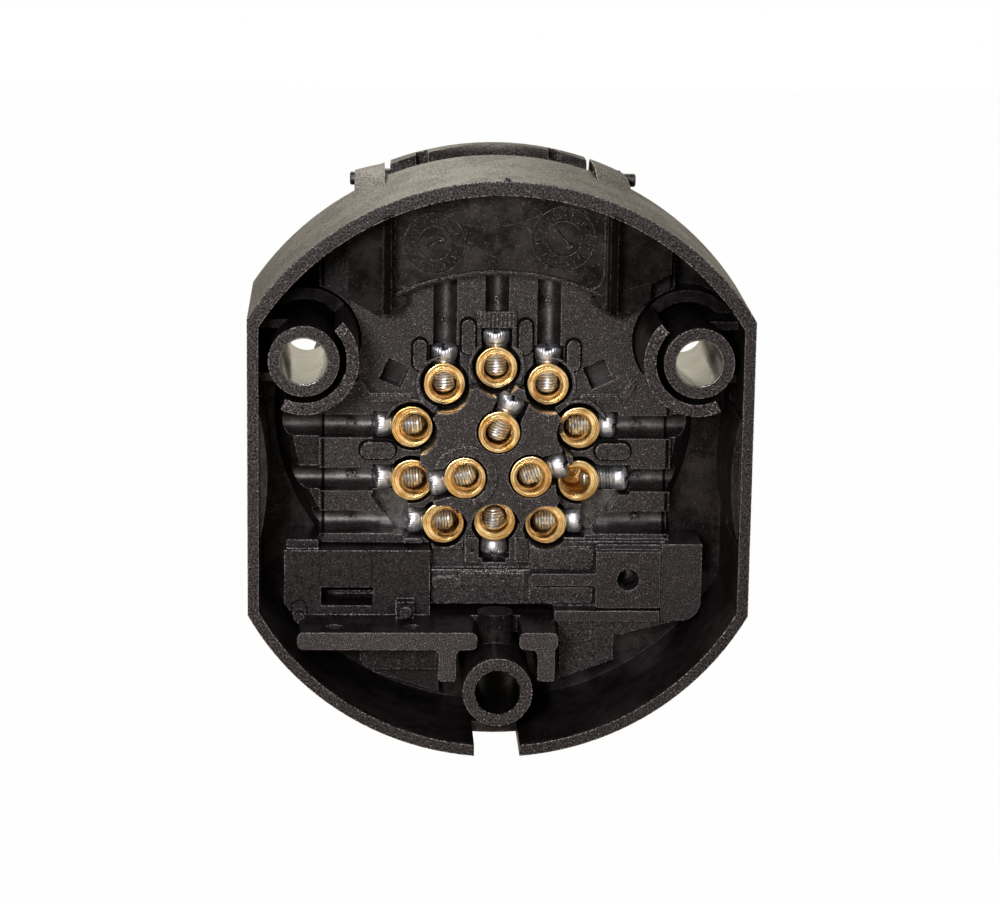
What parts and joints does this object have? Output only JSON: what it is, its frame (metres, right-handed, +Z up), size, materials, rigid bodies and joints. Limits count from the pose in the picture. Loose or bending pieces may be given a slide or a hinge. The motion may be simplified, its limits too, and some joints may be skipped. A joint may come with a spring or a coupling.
{
  "type": "trailer socket",
  "caption": "Black plastic trailer socket with a round plug collar, brass screw-clamp contacts in a moulded carrier, bolt bosses in a D-shaped housing and a sprung hinged lid.",
  "frame": {"origin": "on the plug axis, in the plane of the rear rim that rests on the mounting bracket", "axes": "+X to the right seen from the wiring side, +Y along the plug axis from the rim to the lid, +Z up to the hinge"},
  "size_m": [0.072, 0.0523, 0.0854],
  "materials": {
    "housing_plastic": "fine grain",
    "carrier_plastic": "fine grain",
    "brass": "turned",
    "zinc_steel": "zinc plated",
    "spring_steel": "drawn wire",
    "seal_rubber": "matt"
  },
  "bodies": {
    "socket": {"housing": "housing_plastic", "contact_carrier": "carrier_plastic", "switch_cover": "carrier_plastic", "latch_plate": "carrier_plastic", "contact_1": "brass", "contact_2": "brass", "contact_3": "brass", "contact_4": "brass", "contact_5": "brass", "contact_6": "brass", "contact_7": "brass", "contact_8": "brass", "contact_9": "brass", "contact_10": "brass", "contact_11": "brass", "contact_12": "brass", "contact_13": "brass", "clamp_screws": "zinc_steel", "hinge_pin": "zinc_steel", "lid_spring": "spring_steel"},
    "lid": {"lid": "housing_plastic", "lid_seal": "seal_rubber"}
  },
  "joints": [
    {"name": "lid_hinge", "type": "hinge", "parent": "socket", "child": "lid", "pos_m": [0, 0.0343, 0.0387], "axis": [1, 0, 0], "range_deg": [0, 100], "stiffness_Nm_per_rad": 0.03, "springref_deg": -85.94, "deforming": ["lid_spring"]}
  ]
}
